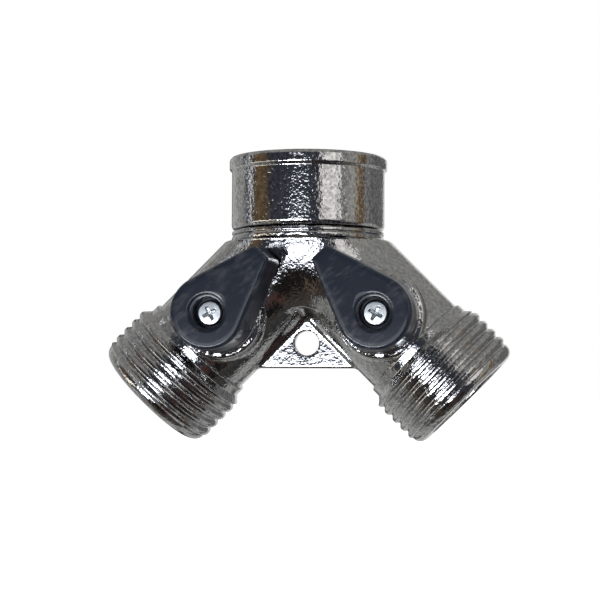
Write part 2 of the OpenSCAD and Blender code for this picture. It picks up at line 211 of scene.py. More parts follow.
def outward_mesh(name, verts, faces, weld=False):
    """A mesh from points in millimetres, with its faces turned outwards."""
    mesh = bpy.data.meshes.new(name)
    mesh.from_pydata([tuple(v) for v in np.asarray(verts) * MM], [], [tuple(f) for f in faces])
    bm = bmesh.new()
    bm.from_mesh(mesh)
    if weld:
        bmesh.ops.remove_doubles(bm, verts=bm.verts, dist=WELD)
    bmesh.ops.recalc_face_normals(bm, faces=bm.faces)
    bm.to_mesh(mesh)
    bm.free()
    return mesh


def evaluated_mesh(made):
    """The plain mesh that an object's modifiers give."""
    evaluated = made.evaluated_get(bpy.context.evaluated_depsgraph_get())
    return bpy.data.meshes.new_from_object(evaluated)


def dress(mesh, name, material, body, nodes=(), smooth_angle=32):
    """Makes a mesh a piece: its finish, its smooth edges, its body, and the nodes it stands for."""
    piece = place(name, mesh)
    mesh.materials.clear()
    mesh.materials.append(material)
    mesh.shade_smooth()
    mesh.set_sharp_from_angle(angle=math.radians(smooth_angle))
    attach(piece, body)
    if nodes:
        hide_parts(*nodes)
    return piece


def loft(rings, close=True):
    """Faces that join rings of points, one after the other, and the last to the first."""
    rings = [np.asarray(r, float) for r in rings]
    n, count = len(rings[0]), len(rings)
    faces = []
    for k in range(count if close else count - 1):
        a, b = k * n, ((k + 1) % count) * n
        for i in range(n):
            j = (i + 1) % n
            faces.append((a + i, a + j, b + j, b + i))
    return np.vstack(rings), faces


def turned(profile, segments):
    """Points and faces of a closed (radius, height) profile spun round Z."""
    angle = 2 * math.pi * np.arange(segments) / segments
    return loft([np.stack([r * np.cos(angle), r * np.sin(angle), np.full(segments, z)], -1)
                 for r, z in profile])


def fine(profile, step):
    """A profile of (radius, height) points with its long runs cut into steps."""
    out = []
    for k, (r0, z0) in enumerate(profile):
        r1, z1 = profile[(k + 1) % len(profile)]
        cuts = max(1, int(math.hypot(r1 - r0, z1 - z0) / step))
        out += [(r0 + (r1 - r0) * i / cuts, z0 + (z1 - z0) * i / cuts) for i in range(cuts)]
    return out


def rounded(profile, radius, arc):
    """Rounds every corner of a closed profile by a radius, or by less where a side is short."""
    most = 0.45
    out = []
    pts = [np.array(p, float) for p in profile]
    for k, p in enumerate(pts):
        da, db = pts[k - 1] - p, pts[(k + 1) % len(pts)] - p
        la, lb = np.linalg.norm(da), np.linalg.norm(db)
        cut = min(radius, most * la, most * lb)
        pa, pb = p + da / la * cut, p + db / lb * cut
        for i in range(arc + 1):
            t = i / arc
            out.append(tuple((1 - t) ** 2 * pa + 2 * t * (1 - t) * p + t * t * pb))
    return out


# ------------------------------------------------------------------ node helpers

def new_material(name):
    material = bpy.data.materials.new(name)
    material.use_nodes = True
    tree = material.node_tree
    return material, tree, tree.nodes["Principled BSDF"]


def node(tree, kind, **values):
    """A node with its settings, or the values of its sockets by name."""
    made = tree.nodes.new(kind)
    for key, value in values.items():
        if hasattr(made, key):
            setattr(made, key, value)
        else:
            made.inputs[key.replace("_", " ")].default_value = value
    return made


def calc(tree, kind, *values):
    """The result of a Math node that is fed with sockets or plain numbers."""
    made = node(tree, "ShaderNodeMath", operation=kind)
    for socket, value in zip(made.inputs, values):
        if isinstance(value, (int, float)):
            socket.default_value = value
        else:
            tree.links.new(value, socket)
    return made.outputs[0]


def ramp(tree, source, stops):
    """A colour ramp with (position, colour or grey) stops."""
    made = tree.nodes.new("ShaderNodeValToRGB")
    elements = made.color_ramp.elements
    while len(elements) < len(stops):
        elements.new(0.5)
    for element, (at, colour) in zip(elements, stops):
        element.position = at
        element.color = (*colour, 1) if isinstance(colour, tuple) else (colour, colour, colour, 1)
    tree.links.new(source, made.inputs[0])
    return made.outputs[0]


def noise(tree, where, **values):
    made = node(tree, "ShaderNodeTexNoise", **values)
    tree.links.new(where, made.inputs["Vector"])
    return made.outputs["Fac"]


def bump(tree, height, strength, distance, under=None):
    made = node(tree, "ShaderNodeBump", Strength=strength, Distance=distance)
    tree.links.new(height, made.inputs["Height"])
    if under is not None:
        tree.links.new(under, made.inputs["Normal"])
    return made.outputs[0]


# ------------------------------------------------------------------ threads

# where a flank starts to rise and stops, in flank widths: past 0 and 1 it is worn round
FLANK_FOOT, FLANK_BROW = -0.4, 1.3
THREAD_SEGMENTS = 300


def helical_groove_tree():
    """Geometry Nodes that cut a right-hand thread groove into a turned skin standing on Z."""
    tree = bpy.data.node_groups.new("helical_groove", "GeometryNodeTree")
    new_socket, link = tree.interface.new_socket, tree.links.new
    new_socket("Geometry", in_out="INPUT", socket_type="NodeSocketGeometry")
    for name in ("Crest radius", "Root radius", "Pitch", "Start height", "Start turn", "Root width",
                 "Flank width", "Lowest", "Highest"):
        new_socket(name, in_out="INPUT", socket_type="NodeSocketFloat")
    new_socket("Finish", in_out="INPUT", socket_type="NodeSocketMaterial")
    new_socket("Geometry", in_out="OUTPUT", socket_type="NodeSocketGeometry")
    size = tree.nodes.new("NodeGroupInput").outputs

    def do(kind, *values):
        return calc(tree, kind, *values)

    spot = tree.nodes.new("ShaderNodeSeparateXYZ")
    link(tree.nodes.new("GeometryNodeInputPosition").outputs[0], spot.inputs[0])
    x, y, z = spot.outputs
    radius = do("SQRT", do("ADD", do("MULTIPLY", x, x), do("MULTIPLY", y, y)))
    # how far a point lies from the middle of the groove, along the axis
    turn = do("DIVIDE", do("ARCTAN2", y, x), 2 * math.pi)
    climb = do("DIVIDE", do("SUBTRACT", z, size["Start height"]), size["Pitch"])
    off = do("SUBTRACT", do("SUBTRACT", climb, turn), size["Start turn"])
    off = do("MULTIPLY", do("PINGPONG", off, 0.5), size["Pitch"])
    wall = do("SUBTRACT", off, do("MULTIPLY", size["Root width"], 0.5))
    wall = do("DIVIDE", wall, size["Flank width"])
    rise = node(tree, "ShaderNodeMapRange", interpolation_type="SMOOTHSTEP",
                From_Min=FLANK_FOOT, From_Max=FLANK_BROW)
    link(wall, rise.inputs["Value"])
    depth = do("SUBTRACT", size["Crest radius"], size["Root radius"])
    thread_skin = do("MULTIPLY_ADD", rise.outputs[0], depth, size["Root radius"])
    # an outlet's groove sinks inwards and the inlet's outwards
    outward = do("LESS_THAN", depth, 0.0)
    least = do("MINIMUM", radius, thread_skin)
    most = do("MAXIMUM", radius, thread_skin)
    grooved = do("ADD", least, do("MULTIPLY", outward, do("SUBTRACT", most, least)))
    scale = do("DIVIDE", grooved, radius)
    moved = tree.nodes.new("ShaderNodeCombineXYZ")
    link(do("MULTIPLY", x, scale), moved.inputs[0])
    link(do("MULTIPLY", y, scale), moved.inputs[1])
    link(z, moved.inputs[2])
    # only the threaded stretch of the skin moves
    threaded = node(tree, "GeometryNodeInputNamedAttribute", data_type="FLOAT")
    threaded.inputs["Name"].default_value = "threaded"
    inside = do("MULTIPLY", do("GREATER_THAN", z, size["Lowest"]), do("LESS_THAN", z, size["Highest"]))
    inside = do("MULTIPLY", inside, threaded.outputs["Attribute"])
    push = tree.nodes.new("GeometryNodeSetPosition")
    link(size["Geometry"], push.inputs["Geometry"])
    link(do("GREATER_THAN", inside, 0.5), push.inputs["Selection"])
    link(moved.outputs[0], push.inputs["Position"])
    joined = tree.nodes.new("GeometryNodeRealizeInstances")
    link(push.outputs[0], joined.inputs[0])
    finish = tree.nodes.new("GeometryNodeSetMaterial")
    link(joined.outputs[0], finish.inputs["Geometry"])
    link(size["Finish"], finish.inputs["Material"])
    link(finish.outputs[0], tree.nodes.new("NodeGroupOutput").inputs[0])
    return tree


def threaded_skin(name, profile, is_thread, sizes, material):
    """A turned skin with the groove cut by Geometry Nodes, returned as points and faces."""
    verts, faces = turned(profile, THREAD_SEGMENTS)
    mesh = bpy.data.meshes.new(name)
    mesh.from_pydata([tuple(v) for v in verts], [], faces)
    flags = mesh.attributes.new("threaded", "FLOAT", "POINT")
    flags.data.foreach_set("value", np.repeat(np.asarray(is_thread, float), THREAD_SEGMENTS))
    blank = place(name, mesh)
    modifier = blank.modifiers.new("thread", "NODES")
    modifier.node_group = THREAD_TREE
    sockets = {i.name: i.identifier for i in THREAD_TREE.interface.items_tree if i.in_out == "INPUT"}
    for key, value in sizes.items():
        modifier[sockets[key]] = float(value)
    modifier[sockets["Finish"]] = material
    blank.update_tag()
    cut = evaluated_mesh(blank)
    points = np.empty(len(cut.vertices) * 3)
    cut.vertices.foreach_get("co", points)
    quads = [tuple(p.vertices) for p in cut.polygons]
    bpy.data.objects.remove(blank)
    bpy.data.meshes.remove(cut)
    return points.reshape(-1, 3), quads


# ------------------------------------------------------------------ finishes

# inputs and output of a colour Mix node, and the heights of the plate's pebbles and waves in metres
MIX_A, MIX_B, MIX_RESULT = 6, 7, 2
PEBBLE_H, WAVE_H = 0.000042, 0.00016


def darker(colour, share):
    return tuple(c * share for c in colour)


def chrome(name, pebble, wave=1.0, tint=(0.60, 0.60, 0.605), fleck=0.15):
    """Bright plate over a cast skin: soft waves, fine pebbles and a few duller spots."""
    material, tree, shader = new_material(name)
    link = tree.links.new
    where = node(tree, "ShaderNodeTexCoord").outputs["Object"]
    swell = noise(tree, where, Scale=190.0, Detail=2.0)
    grain = noise(tree, where, Scale=1500.0, Detail=1.6, Roughness=0.6)
    patch = noise(tree, where, Scale=300.0, Detail=4.0, Roughness=0.65)
    pebbles = bump(tree, grain, 1.0, PEBBLE_H * pebble)
    link(bump(tree, swell, 1.0, WAVE_H * wave, pebbles), shader.inputs["Normal"])
    link(ramp(tree, patch, [(0.35, 0.05), (0.6, 0.10), (0.75, 0.22)]), shader.inputs["Roughness"])
    mottled = node(tree, "ShaderNodeMix", data_type="RGBA", blend_type="MULTIPLY")
    mottled.inputs["Factor"].default_value = 1.0
    link(ramp(tree, patch, [(0.3, tint), (0.7, darker(tint, 0.88))]), mottled.inputs[MIX_A])
    link(ramp(tree, grain, [(0.3, 0.95 - fleck), (0.7, 0.95 + fleck)]), mottled.inputs[MIX_B])
    link(mottled.outputs[MIX_RESULT], shader.inputs["Base Color"])
    shader.inputs["Metallic"].default_value = 1.0
    return material


def metal(name, colour, rough, scratch=0.15):
    """Plain metal with blotches that change its colour, its gloss and its surface a little."""
    material, tree, shader = new_material(name)
    link = tree.links.new
    blot = noise(tree, node(tree, "ShaderNodeTexCoord").outputs["Object"], Scale=700.0, Detail=4.0)
    link(ramp(tree, blot, [(0.3, colour), (0.75, darker(colour, 0.78))]), shader.inputs["Base Color"])
    link(ramp(tree, blot, [(0.3, rough), (0.7, rough + 0.12)]), shader.inputs["Roughness"])
    link(bump(tree, blot, scratch, 0.00005), shader.inputs["Normal"])
    shader.inputs["Metallic"].default_value = 1.0
    return material


def moulded(name, colour, lighter, rough, scuffs=0.5, gloss=0.5, skin=0.0):
    """Moulded plastic or rubber with a fine grain, paler scuffs and small changes of gloss."""
    material, tree, shader = new_material(name)
    link = tree.links.new
    where = node(tree, "ShaderNodeTexCoord").outputs["Object"]
    cloud = noise(tree, where, Scale=150.0, Detail=5.0, Roughness=0.6)
    grain = noise(tree, where, Scale=3200.0, Detail=2.0)
    slant = node(tree, "ShaderNodeMapping", Rotation=(0.0, math.radians(35), 0.0))
    stretch = node(tree, "ShaderNodeMapping", Scale=(260.0, 400.0, 900.0))
    link(where, slant.inputs["Vector"])
    link(slant.outputs[0], stretch.inputs["Vector"])
    rubbed = noise(tree, stretch.outputs[0], Scale=1.0, Detail=4.0, Roughness=0.6)
    marks = calc(tree, "MULTIPLY", ramp(tree, rubbed, [(0.48, 0.0), (0.72, 1.0)]),
                 ramp(tree, cloud, [(0.45, 0.0), (0.62, 1.0)]))
    scuffed = tuple(c + (d - c) * scuffs for c, d in zip(colour, lighter))
    link(ramp(tree, marks, [(0.0, colour), (1.0, scuffed)]), shader.inputs["Base Color"])
    link(ramp(tree, cloud, [(0.3, rough), (0.7, rough + 0.1)]), shader.inputs["Roughness"])
    link(bump(tree, grain, 0.25, 0.00003), shader.inputs["Normal"])
    shader.inputs["Specular IOR Level"].default_value = gloss
    shader.inputs["Coat Weight"].default_value = skin
    shader.inputs["Coat Roughness"].default_value = 0.05
    return material


CAST_CHROME = chrome("cast_chrome", pebble=1.9, fleck=0.25)
TURNED_CHROME = chrome("nut_chrome", pebble=1.8, wave=0.6, fleck=0.4)
BALL_CHROME = chrome("ball_chrome", pebble=0.1, wave=0.15, tint=(0.62, 0.62, 0.63))
SPRING_STEEL = metal("spring_steel", (0.42, 0.42, 0.43), rough=0.28)
BRASS = metal("brass", (0.72, 0.50, 0.20), rough=0.24)
SCREW_ZINC = metal("screw_zinc", (0.84, 0.88, 0.91), rough=0.34, scratch=0.6)
SEAT_PLASTIC = moulded("seat_plastic", (0.78, 0.78, 0.74), (0.84, 0.84, 0.81), rough=0.42)
BLACK_RUBBER = moulded("black_rubber", (0.018, 0.018, 0.018), (0.04, 0.04, 0.04), rough=0.62)
LEVER_PLASTIC = moulded("lever_plastic", (0.021, 0.029, 0.052), (0.14, 0.15, 0.18), rough=0.31,
                        scuffs=1.0, gloss=0.25, skin=0.5)
THREAD_TREE = helical_groove_tree()

# ------------------------------------------------------------------ casting

CELL = 0.34
# the grid is worked a slab at a time, and the skin is drawn on to the surface in rounds of steps
SLABS, ROUNDS = 12, 4
SLOPE_REACH, LEAST_SLOPE, LONGEST_STEP = 0.02, 0.25, 0.6 * CELL


def soft_min(a, b, k):
    """The lower of two distances, with a fillet of about k where they meet."""
    h = np.clip(0.5 + 0.5 * (b - a) / k, 0, 1)
    return b + (a - b) * h - k * h * (1 - h)


def soft_max(a, b, k):
    return -soft_min(-a, -b, k)


def rod(p, side):
    """Distance along an arm and from its axis."""
    along = arm_axes(side)[0]
    q = p - np.array([0, 0, APEX_Z])
    u = q @ along
    return u, np.sqrt(np.maximum((q * q).sum(-1) - u * u, 0))


def round_post(rho, h, radius, top, soft):
    """A post along +h with a rounded top edge."""
    dx, dy = rho - (radius - soft), h - (top - soft)
    outside = np.sqrt(np.maximum(dx, 0) ** 2 + np.maximum(dy, 0) ** 2)
    return outside + np.minimum(np.maximum(dx, dy), 0) - soft


def from_stem(side, x, z):
    """Distance from the axis of an arm's stem."""
    centre = arm_point(side, VALVE_U)
    return np.hypot(x - centre[0], z - centre[2])


def barrel_and_boss(p, side):
    """One arm's barrel, from a little behind the apex, with its two-step valve boss."""
    h = -p[..., 1]
    u, r = rod(p, side)
    barrel = soft_max(r - BARREL_R, -(u + BARREL_BACK), ARM_END_EDGE)
    away = from_stem(side, p[..., 0], p[..., 2])
    boss = round_post(away, h, BOSS_R, BOSS_H, BOSS_ROUND)
    boss = soft_min(boss, round_post(away, h, BOSS_TOP_R, BOSS_TOP_H, BOSS_ROUND), BOSS_STEP_FILLET)
    return soft_min(barrel, soft_max(boss, -h, CAST_EDGE), BOSS_FILLET)


def casting(p):
    """Distance to the skin of the casting, less its threaded ends and its inlet neck."""
    x, y, z = p[..., 0], p[..., 1], p[..., 2]
    h = -y
    rho = np.hypot(x, y)
    solid = soft_min(barrel_and_boss(p, "left"), barrel_and_boss(p, "right"), FORK_FILLET)
    solid = soft_max(solid, z - HUB_TOP, CAST_EDGE)
    # the neck runs down between the arms and draws in as it goes
    fall = np.maximum(HUB_TOP - z, 0)
    front = np.maximum(HUB_FRONT - HUB_DRAW_IN * fall ** 2, 1)
    hub = (np.hypot(x / HUB_WIDE, y / front) - 1) * front
    hub = soft_max(soft_max(hub, rho - SHOULDER_R + HUB_INSET, HUB_EDGE), z - HUB_TOP, CAST_EDGE)
    solid = soft_min(solid, np.maximum(hub, APEX_Z - HUB_REACH - z), HUB_FILLET)
    rim = soft_max(np.maximum(rho - SHOULDER_R, HUB_TOP - z), z - SHOULDER_Z, CAST_EDGE)
    solid = soft_min(solid, rim, SMALL_FILLET)
    slope = (np.abs(x) - (APEX_Z - z)) * COS
    web = soft_max(np.maximum(np.abs(y) - WEB_T / 2, slope), WEB_Z - z, WEB_EDGE)
    web = soft_max(web, HOLE_R - np.hypot(x, z - HOLE_Z), CAST_EDGE)
    solid = soft_min(solid, web, SMALL_FILLET)
    hollow = np.maximum(rho - NECK_BORE, APEX_Z - z)
    for side in ARMS:
        u, r = rod(p, side)
        branch = np.maximum(r - BRANCH_R, np.maximum(-u, u - VALVE_U))
        chamber = np.maximum(r - CHAMBER_R, VALVE_U - SEAT_BACK - u)
        away = from_stem(side, x, z)
        stem_bore = np.maximum(away - STEM_BORE_R, y)
        spot_face = np.maximum(away - SPOT_R, np.maximum(y, h - SPOT_H))
        for cut in (branch, chamber, stem_bore, spot_face):
            hollow = np.minimum(hollow, cut)
    solid = soft_max(solid, -hollow, BORE_EDGE)
    for side in ARMS:
        solid = np.maximum(solid, rod(p, side)[0] - BAND_U)
    return solid


def skin_mesh(field, low, high):
    """Quads over the zero surface of a field, drawn on to it step by step."""
    counts = [int(math.ceil((b - a) / CELL)) + 1 for a, b in zip(low, high)]
    axes = [a + CELL * np.arange(n) for a, n in zip(low, counts)]
    grid = np.stack(np.meshgrid(*axes, indexing="ij"), -1)
    value = np.concatenate([field(slab) for slab in np.array_split(grid, SLABS)])
    inside = value < 0
    shape = [n - 1 for n in counts]
    total, hits = np.zeros(shape + [3]), np.zeros(shape)
    quads = []
    # each grid edge that crosses the skin gives a point, and a quad over the four cells round it
    for ax in range(3):
        lo, hi = [slice(None)] * 3, [slice(None)] * 3
        lo[ax], hi[ax] = slice(0, -1), slice(1, None)
        lo, hi = tuple(lo), tuple(hi)
        cross = inside[lo] != inside[hi]
        at = np.argwhere(cross)
        a, b = value[lo][cross], value[hi][cross]
        points = grid[lo][cross].copy()
        points[:, ax] += CELL * a / (a - b)
        others = [k for k in range(3) if k != ax]
        keep = np.ones(len(at), bool)
        for k in others:
            keep &= (at[:, k] > 0) & (at[:, k] < counts[k] - 1)
        at, points, flip = at[keep], points[keep], inside[lo][cross][keep]
        corners = []
        for da, db in ((-1, -1), (0, -1), (0, 0), (-1, 0)):
            cell_at = at.copy()
            cell_at[:, others[0]] += da
            cell_at[:, others[1]] += db
            np.add.at(total, tuple(cell_at.T), points)
            np.add.at(hits, tuple(cell_at.T), 1)
            corners.append(cell_at)
        corners = np.stack(corners, 1)
        if ax == 1:
            flip = ~flip
        corners[~flip] = corners[~flip][:, ::-1]
        quads.append(corners)
    quads = np.concatenate(quads)
    flat = (quads[..., 0] * shape[1] + quads[..., 1]) * shape[2] + quads[..., 2]
    used, faces = np.unique(flat, return_inverse=True)
    verts = total.reshape(-1, 3)[used] / hits.reshape(-1)[used][:, None]
    for _ in range(ROUNDS):
        slope = np.stack([(field(verts + d) - field(verts - d)) / (2 * SLOPE_REACH)
                          for d in np.eye(3) * SLOPE_REACH], -1)
        size = np.maximum((slope ** 2).sum(-1), LEAST_SLOPE)
        step = np.clip(-field(verts) / size, -LONGEST_STEP, LONGEST_STEP)
        verts = verts + step[:, None] * slope
    return verts, faces.reshape(flat.shape)


def add_casting():
    reach = BAND_U * COS + BARREL_R * COS
    side_room, front_room = 1, 0.8
    low = (-reach - side_room, -SHOULDER_R - front_room, APEX_Z - reach - side_room)
    high = (reach + side_room, SHOULDER_R + front_room, SHOULDER_Z + front_room)
    verts, faces = skin_mesh(casting, low, high)
    mesh = bpy.data.meshes.new("casting_skin")
    mesh.from_pydata([tuple(v) for v in verts * MM], [], faces.tolist())
    mesh.update()
    dress(mesh, "casting_skin", CAST_CHROME, "casting", ["body"], smooth_angle=50)


def add_outlet(side):
    """Band, thread, lead and mouth of one outlet, as one closed skin."""
    band_back, mouth_back, edge = BAND_U - 0.3, ARM_LEN - MOUTH_LEN, 0.3
    nose_start = ARM_LEN - NOSE_LEN
    nose = [(LEAD_R - NOSE_R + NOSE_R * math.cos(t), nose_start + NOSE_LEN * math.sin(t))
            for t in (math.radians(15 * k) for k in range(1, 6))]
    outer = [(CHAMBER_R, band_back), (BARREL_R - 0.02, band_back), (BAND_R, BAND_U + 0.05),
             (BAND_R, THREAD_START - 1.3), (SOFT_ROOT_R, THREAD_START - 0.5),
             (SOFT_CREST_R, THREAD_START), (SOFT_CREST_R, THREAD_END), (LEAD_R, THREAD_END + 0.5),
             (LEAD_R, nose_start), *nose, (MOUTH_R + edge, ARM_LEN), (MOUTH_R, ARM_LEN - edge),
             (MOUTH_R, mouth_back), (CHAMBER_R, mouth_back)]
    profile = fine(rounded(outer, radius=0.16, arc=4), step=0.13)
    is_thread = [r > SOFT_ROOT_R and THREAD_START - RUN_OUT < u < THREAD_END + RUN_OUT
                 for r, u in profile]
    points, faces = threaded_skin(side + "_outlet_blank", profile, is_thread, {
        "Crest radius": SOFT_CREST_R, "Root radius": SOFT_ROOT_R, "Pitch": PITCH,
        "Start height": THREAD_START, "Start turn": OUTLET_TURN[side] + GROOVE_TURN,
        "Root width": SOFT_ROOT_W, "Flank width": SOFT_FLANK_W,
        "Lowest": THREAD_START - CUT_ROOM, "Highest": THREAD_END + CUT_ROOM}, CAST_CHROME)
    # a right-hand frame on the arm, so that the thread stays right-handed on both sides
    along, out, _ = arm_axes(side)
    across = -out
    placed = np.array([0, 0, APEX_Z]) + points @ np.array([across, np.cross(along, across), along])
    mesh = outward_mesh(side + "_outlet", placed, faces, weld=True)
    dress(mesh, side + "_outlet", CAST_CHROME, "casting", (), smooth_angle=48)


def add_neck():
    """Neck with the snap ring's groove, and the disc that shows under the nut."""
    groove_top, groove_h, groove_r = NECK_TOP - 1.0 + 0.1, 1.2, NECK_R - 0.8
    disc_r, foot_r, foot_z = NUT_R - 0.1, NUT_R - 0.7, SHOULDER_Z - 0.15
    profile = [(NECK_BORE, NECK_TOP), (NECK_R, NECK_TOP), (NECK_R, groove_top), (groove_r, groove_top),
               (groove_r, groove_top - groove_h), (NECK_R, groove_top - groove_h), (NECK_R, DISC_Z),
               (disc_r, DISC_Z), (disc_r, DISC_Z - DISC_T), (foot_r, DISC_Z - DISC_T),
               (foot_r, foot_z), (NECK_BORE, foot_z)]
    verts, faces = turned(fine(rounded(profile, radius=0.14, arc=4), step=0.4), segments=256)
    mesh = outward_mesh("inlet_neck", verts, faces, weld=True)
    dress(mesh, "inlet_neck", CAST_CHROME, "casting", ())


def add_nut():
    """Plain collar with a rim bead, a rounded lower edge and a right-hand thread inside."""
    minor, major = inlet_thread["dims"]["r_mm"], THREAD_R + 0.15
    relief, neck, lip, cut_room = major + 0.1, NECK_R + 0.08, NUT_LOW + 1.6, 0.65
    top, low = -0.9, -0.9 - inlet_thread["dims"]["length_mm"]
    foot, foot_mid, bead_top, bead_low, bead_foot, corner = 0.9, 0.26, -0.55, -2.4, -2.8, 0.5
    profile = [(neck, NUT_LOW), (NUT_R - foot, NUT_LOW), (NUT_R - foot_mid, NUT_LOW + foot_mid),
               (NUT_R, NUT_LOW + foot), (NUT_R, bead_foot), (RIM_R, bead_low), (RIM_R, bead_top),
               (RIM_R - corner, 0), (relief, 0), (relief, top + RUN_OUT), (minor, top), (minor, low),
               (relief, low - RUN_OUT), (relief, lip + corner), (relief - corner, lip), (neck, lip)]
    profile = fine(rounded(profile, radius=0.22, arc=5), step=0.15)
    is_thread = [r < relief - 0.01 for r, z in profile]
    points, faces = threaded_skin("inlet_collar_blank", profile, is_thread, {
        "Crest radius": minor, "Root radius": major, "Pitch": PITCH, "Start height": low,
        "Start turn": GROOVE_TURN, "Root width": INLET_ROOT_W, "Flank width": FLANK_W,
        "Lowest": low - cut_room, "Highest": top + cut_room}, TURNED_CHROME)
    mesh = outward_mesh("inlet_collar", points, faces, weld=True)
    dress(mesh, "inlet_collar", TURNED_CHROME, "nut", ["swivel_nut"], smooth_angle=40)


# ------------------------------------------------------------------ levers and screws

def stem_point(side, x, y, h):
    """A stem's own frame: x towards the other arm's side, y out along the arm, h forwards."""
    along, out, forward = arm_axes(side)
    c, s = math.cos(LEVER_PLAY), math.sin(LEVER_PLAY)
    x, y = x * c + y * s, y * c - x * s
    return (arm_point(side, VALVE_U) + np.asarray(x)[..., None] * -out
            + np.asarray(y)[..., None] * along + np.asarray(h)[..., None] * forward)


def stem_ring(side, angles, r, h):
    """One turn of points round a stem; r and h are numbers, or one for each angle."""
    return stem_point(side, r * np.cos(angles), r * np.sin(angles), np.broadcast_to(h, angles.shape))


def lever_outline(inset, angles):
    """Distance from the stem to the lever's side at each angle; -90 degrees is the narrow end."""
    least_corner = 0.15
    corner = max(LEVER_TIP_CORNER - inset, least_corner)
    drawn_in = max(inset - LEVER_TIP_CORNER + least_corner, 0)
    tip_x = LEVER_TIP_W / 2 - LEVER_TIP_CORNER - drawn_in
    tip_y = LEVER_REACH - LEVER_TIP_CORNER - drawn_in
    discs = [((0, 0), LEVER_R - inset), ((tip_x, -tip_y), corner), ((-tip_x, -tip_y), corner)]
    way = np.linspace(0, 2 * math.pi, 1441)
    support = np.max([c[0] * np.cos(way) + c[1] * np.sin(way) + r for c, r in discs], axis=0)
    out = []
    for a in angles:
        facing = np.cos(way - a)
        ahead = facing > 0.02
        out.append((support[ahead] / facing[ahead]).min())
    return np.array(out)


def lever_angles():
    """256 angles round a lever, crowded at the narrow end, where the outline turns quickly."""
    count, at_tip = 256, 72
    half = math.atan2(LEVER_TIP_W / 2 + 0.4, LEVER_REACH)
    tip = np.linspace(-math.pi / 2 - half, -math.pi / 2 + half, at_tip)
    rest = np.linspace(-math.pi / 2 + half, 1.5 * math.pi - half, count - at_tip + 2)[1:-1]
    return np.concatenate([tip, rest])


def add_lever(side):
    """A lever with a draft, a bevelled face, a stepped screw recess and a square socket."""
    angles = lever_angles()

    def ring(r, h):
        return stem_ring(side, angles, r, h)

    foot_edge, sides, bends = 0.15, 10, 8
    wall_h = LEVER_H - foot_edge - LEVER_BEVEL
    rings = [ring(lever_outline(0.12, angles), LEVER_BASE),
             ring(lever_outline(0.0, angles), LEVER_BASE + foot_edge)]
    for i in range(1, sides + 1):
        rings.append(ring(lever_outline(LEVER_DRAFT * i / sides, angles),
                          LEVER_BASE + foot_edge + wall_h * i / sides))
    for i in range(1, bends + 1):
        bend = math.pi / 2 * i / bends
        rings.append(ring(lever_outline(LEVER_DRAFT + LEVER_BEVEL * (1 - math.cos(bend)), angles),
                          LEVER_TOP - LEVER_BEVEL * (1 - math.sin(bend))))
    face_edge, hole_edge = lever_outline(LEVER_DRAFT + LEVER_BEVEL, angles), RECESS_R + 0.15
    for f in (0.25, 0.5, 0.75, 0.92):
        rings.append(ring(face_edge + (hole_edge - face_edge) * f, LEVER_TOP))
    # down through the stepped recess, with its edges broken, to the screw's hole
    step_h = LEVER_TOP - RECESS_DEPTH
    for r, h in ((hole_edge, LEVER_TOP), (RECESS_R + 0.04, LEVER_TOP - 0.05),
                 (RECESS_R, LEVER_TOP - 0.18), (RECESS_R, step_h + 0.08), (RECESS_R - 0.08, step_h),
                 (RECESS_FLOOR_R + 0.12, step_h), (RECESS_FLOOR_R + 0.03, step_h - 0.04),
                 (RECESS_FLOOR_R, step_h - 0.14), (RECESS_FLOOR_R, RECESS_FLOOR + 0.1),
                 (RECESS_FLOOR_R - 0.1, RECESS_FLOOR), (SCREW_HOLE_R, RECESS_FLOOR),
                 (SCREW_HOLE_R, SOCKET_TOP)):
        rings.append(ring(r, h))
    square = SOCKET_HALF / np.maximum(np.abs(np.cos(angles)), np.abs(np.sin(angles)))
    rings += [ring(square, SOCKET_TOP), ring(square, LEVER_BASE)]
    form = place("lever_form", outward_mesh(side + "_lever_form", *loft(rings)))
    cutters = [lever_hollow(side), stop_groove(side)]
    for cutter in cutters:
        modifier = form.modifiers.new("cut", "BOOLEAN")
        modifier.object = cutter
        modifier.operation = "DIFFERENCE"
        modifier.solver = "EXACT"
    name = side + "_lever_handle"
    mesh = evaluated_mesh(form)
    mesh.name = name
    for spare in [form] + cutters:
        bpy.data.objects.remove(spare)
    dress(mesh, name, LEVER_PLASTIC, side + "_valve", [side + "_lever"],
          smooth_angle=38)


def underside_cutter(side, angles, far, near, depth):
    """A stretch of ring between two radii, cut up into a lever from below to a depth."""
    outline = np.vstack([np.stack([far * np.cos(angles), far * np.sin(angles)], -1),
                         np.stack([near * np.cos(angles), near * np.sin(angles)], -1)[::-1]])
    n = len(outline)
    verts = np.vstack([stem_point(side, outline[:, 0], outline[:, 1], np.full(n, h))
                       for h in (LEVER_BASE - 1, LEVER_BASE + depth)])
    faces = [tuple(range(n)), tuple(range(2 * n - 1, n - 1, -1))]
    faces += [(i, (i + 1) % n, n + (i + 1) % n, n + i) for i in range(n)]
    return place("cutter", outward_mesh("cutter", verts, faces))


def lever_hollow(side):
    """The hollow under the narrow end, between the hub round the socket and the outer wall."""
    angles = np.radians(np.linspace(-150, -30, 121))
    wall = lever_outline(LEVER_WALL, angles)
    wide = wall > LEVER_HUB_R + 0.05
    return underside_cutter(side, angles[wide], wall[wide], LEVER_HUB_R, HOLLOW_DEPTH)


def stop_groove(side):
    """The groove that the boss's stop runs in."""
    inner, outer = STOP_GROOVE_R
    return underside_cutter(side, np.radians(np.linspace(*STOP_GROOVE_ENDS, 60)), outer, inner,
                            STOP_GROOVE_DEPTH)


